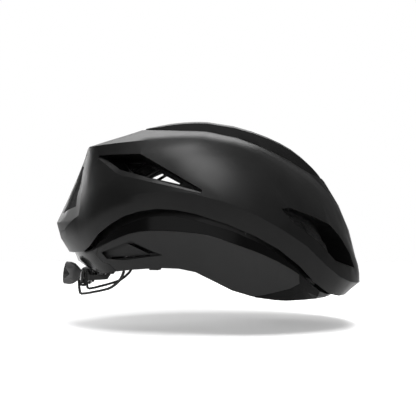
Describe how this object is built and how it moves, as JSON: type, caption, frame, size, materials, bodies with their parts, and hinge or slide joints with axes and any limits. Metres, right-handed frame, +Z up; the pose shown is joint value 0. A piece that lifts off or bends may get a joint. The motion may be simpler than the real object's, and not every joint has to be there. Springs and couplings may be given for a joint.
{
  "type": "road bike helmet",
  "caption": "Black aero road bike helmet in two nested foam halves with a raised spine, side and tail vents, gloss lower wrap, nape dial and wire-like cradle loops.",
  "frame": {"origin": "middle of the bottom face of the whole helmet's box, on the table", "axes": "+X to the front (brow), +Y to the rider's left, +Z up"},
  "size_m": [0.286, 0.212, 0.161],
  "materials": {
    "matte_shell": "satin matte, fine grain",
    "foam": "dull, beaded foam grain",
    "tail_frame": "satin dark grey",
    "cage": "satin black",
    "gloss_wrap": "high gloss black",
    "side_panel": "matte dark grey",
    "elastomer": "soft translucent red",
    "clip_plastic": "matte dark grey",
    "pad_fabric": "brushed knit",
    "webbing": "woven ribs",
    "buckle": "satin black",
    "fit_plastic": "satin black",
    "spring_steel": "bright",
    "pinion_plastic": "natural white",
    "dial_grip": "soft matte grey",
    "dial_cap": "semi gloss black",
    "band": "satin black"
  },
  "bodies": {
    "inner_half": {"inner_liner": "foam", "lower_shell": "gloss_wrap", "side_panel_left": "side_panel", "side_panel_right": "side_panel", "brow_pad": "pad_fabric", "crown_pads": "pad_fabric", "side_pads_left": "pad_fabric", "side_pads_right": "pad_fabric", "strap_anchors": "clip_plastic", "strap_left": "webbing", "strap_right": "webbing", "strap_divider_left": "clip_plastic", "strap_divider_right": "clip_plastic", "buckle_socket": "buckle", "buckle_plug": "buckle", "temple_guides": "clip_plastic", "height_track": "clip_plastic"},
    "slip_link": {"slip_tethers": "elastomer"},
    "outer_half": {"outer_shell": "matte_shell", "outer_liner": "foam", "exhaust_frame": "tail_frame", "roll_cage": "cage", "tether_plugs": "clip_plastic"},
    "nape_cradle": {"cradle": "fit_plastic", "housing_cover": "fit_plastic", "nape_pads": "pad_fabric", "detent_spring": "spring_steel"},
    "fit_dial": {"pinion": "pinion_plastic", "dial_knob": "dial_grip", "dial_cap": "dial_cap"},
    "left_band": {"band_left": "band"},
    "right_band": {"band_right": "band"}
  },
  "joints": [
    {"name": "slip_yaw", "type": "hinge", "parent": "inner_half", "child": "slip_link", "pos_m": [-0.004, 0, 0.029], "axis": [0, 0, 1], "range_deg": [-1.2, 1.2], "stiffness_Nm_per_rad": 40},
    {"name": "slip_pitch", "type": "hinge", "parent": "slip_link", "child": "outer_half", "pos_m": [-0.004, 0, 0.029], "axis": [0, 1, 0], "range_deg": [-1.2, 1.2], "stiffness_Nm_per_rad": 40},
    {"name": "cradle_height", "type": "slide", "parent": "inner_half", "child": "nape_cradle", "axis": [0, 0, 1], "range_m": [-0.012, 0]},
    {"name": "dial_turn", "type": "hinge", "parent": "nape_cradle", "child": "fit_dial", "pos_m": [-0.114, 0, 0.0162], "axis": [-0.9925, 0, 0.1219], "range_deg": [-150, 150]},
    {"name": "left_band_wind", "type": "hinge", "parent": "nape_cradle", "child": "left_band", "pos_m": [-0.03, 0, 0.0162], "axis": [0, 0, 1], "range_deg": [-5.36, 5.36]},
    {"name": "right_band_wind", "type": "hinge", "parent": "nape_cradle", "child": "right_band", "pos_m": [-0.03, 0, 0.0162], "axis": [0, 0, 1], "range_deg": [-5.36, 5.36]}
  ],
  "couplings": [
    {"joint": "dial_turn", "follows": "left_band_wind", "ratio": 28},
    {"joint": "right_band_wind", "follows": "left_band_wind", "ratio": -1}
  ]
}
